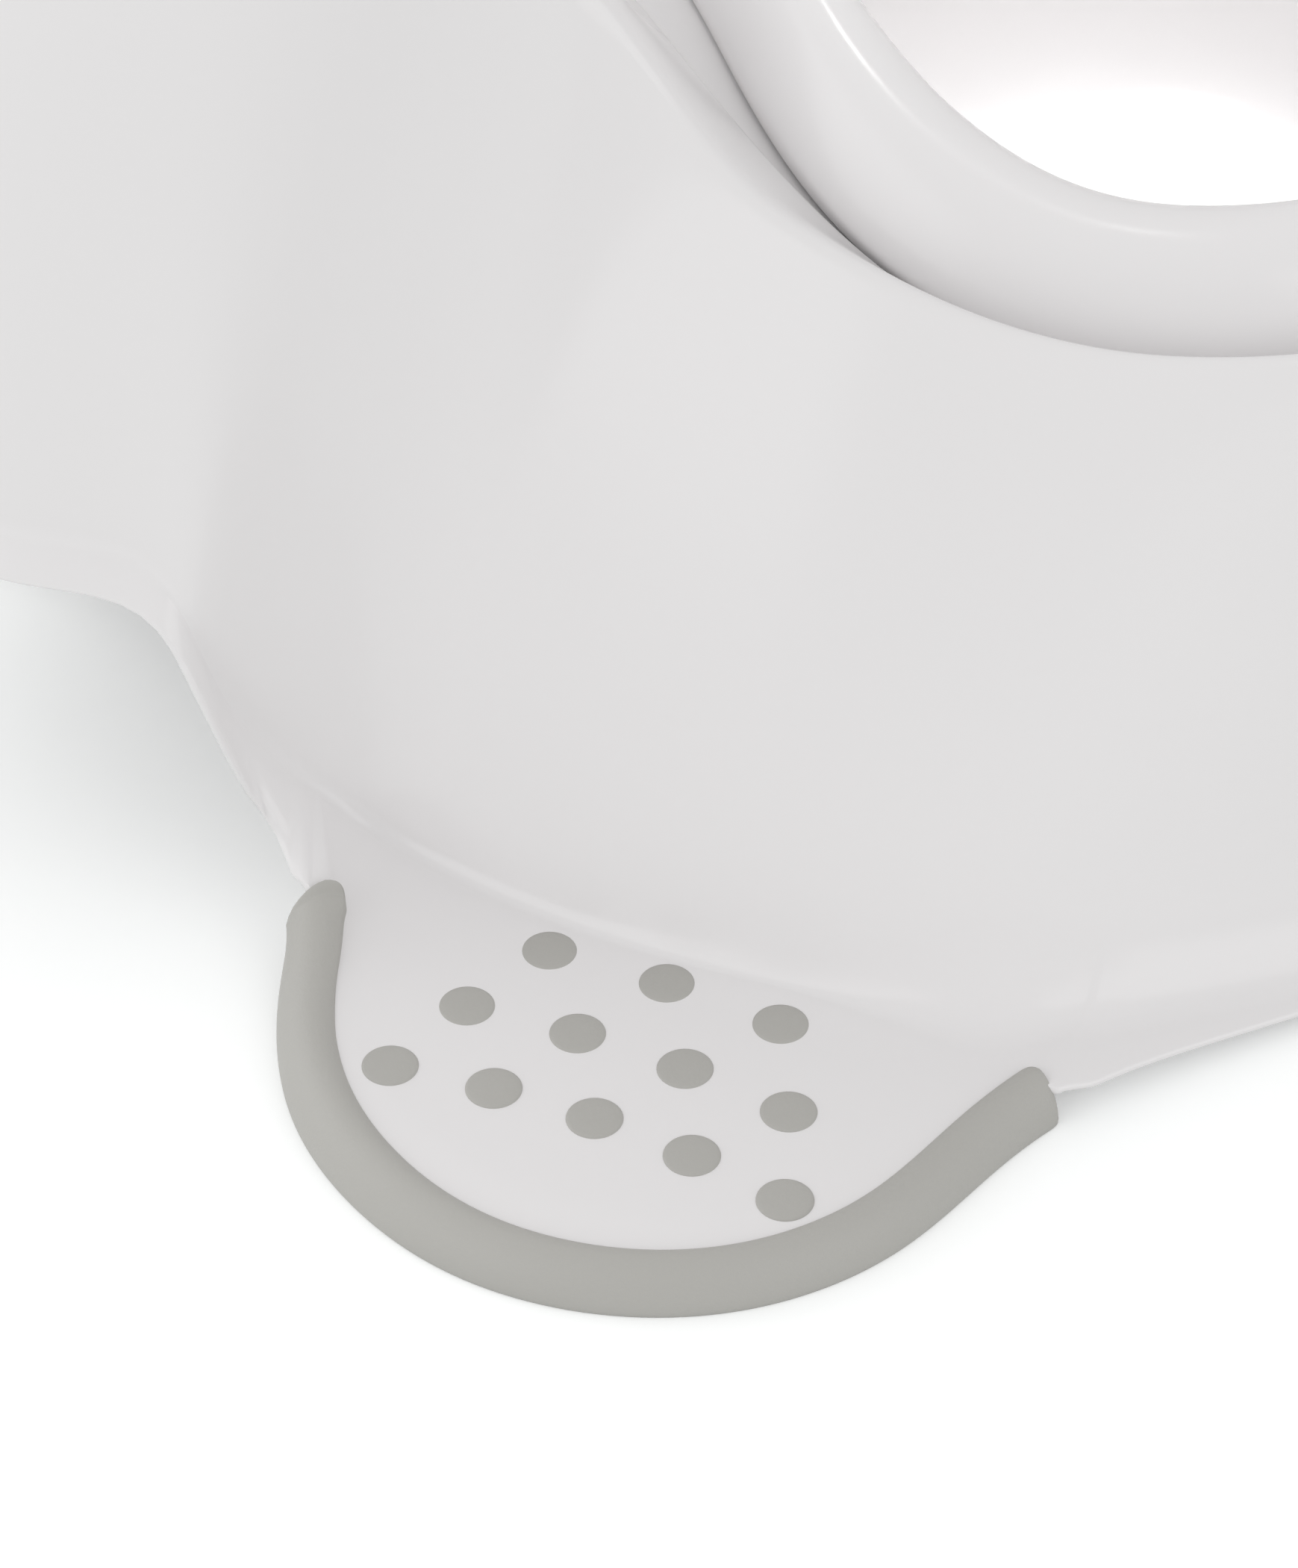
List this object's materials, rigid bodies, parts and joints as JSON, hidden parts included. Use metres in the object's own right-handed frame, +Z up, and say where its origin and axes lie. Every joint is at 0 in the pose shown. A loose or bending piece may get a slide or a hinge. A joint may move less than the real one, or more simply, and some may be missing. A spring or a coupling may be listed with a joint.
{
  "type": "training potty",
  "caption": "Child's training potty: a flared glossy shell with a splash guard, a backrest and soft-edged feet with grip studs, and a lift-out pot with a rolled seat rim.",
  "frame": {"origin": "on the floor, under the middle of the base", "axes": "+Z is up and -Y is the front with the splash guard; left and right are as seen from the front"},
  "size_m": [0.2896, 0.3851, 0.2106],
  "materials": {
    "white_shell": "glossy moulded plastic",
    "grey_grip": "soft satin elastomer"
  },
  "bodies": {
    "body": {"body_shell": "white_shell", "front_left_edging": "grey_grip", "front_right_edging": "grey_grip", "rear_left_edging": "grey_grip", "rear_right_edging": "grey_grip", "front_left_studs": "grey_grip", "front_right_studs": "grey_grip", "rear_left_studs": "grey_grip", "rear_right_studs": "grey_grip"},
    "pot": {"pot": "white_shell"}
  },
  "joints": [
    {"name": "pot_lift", "type": "slide", "parent": "body", "child": "pot", "axis": [0, 0, 1], "range_m": [0, 0.21]}
  ]
}
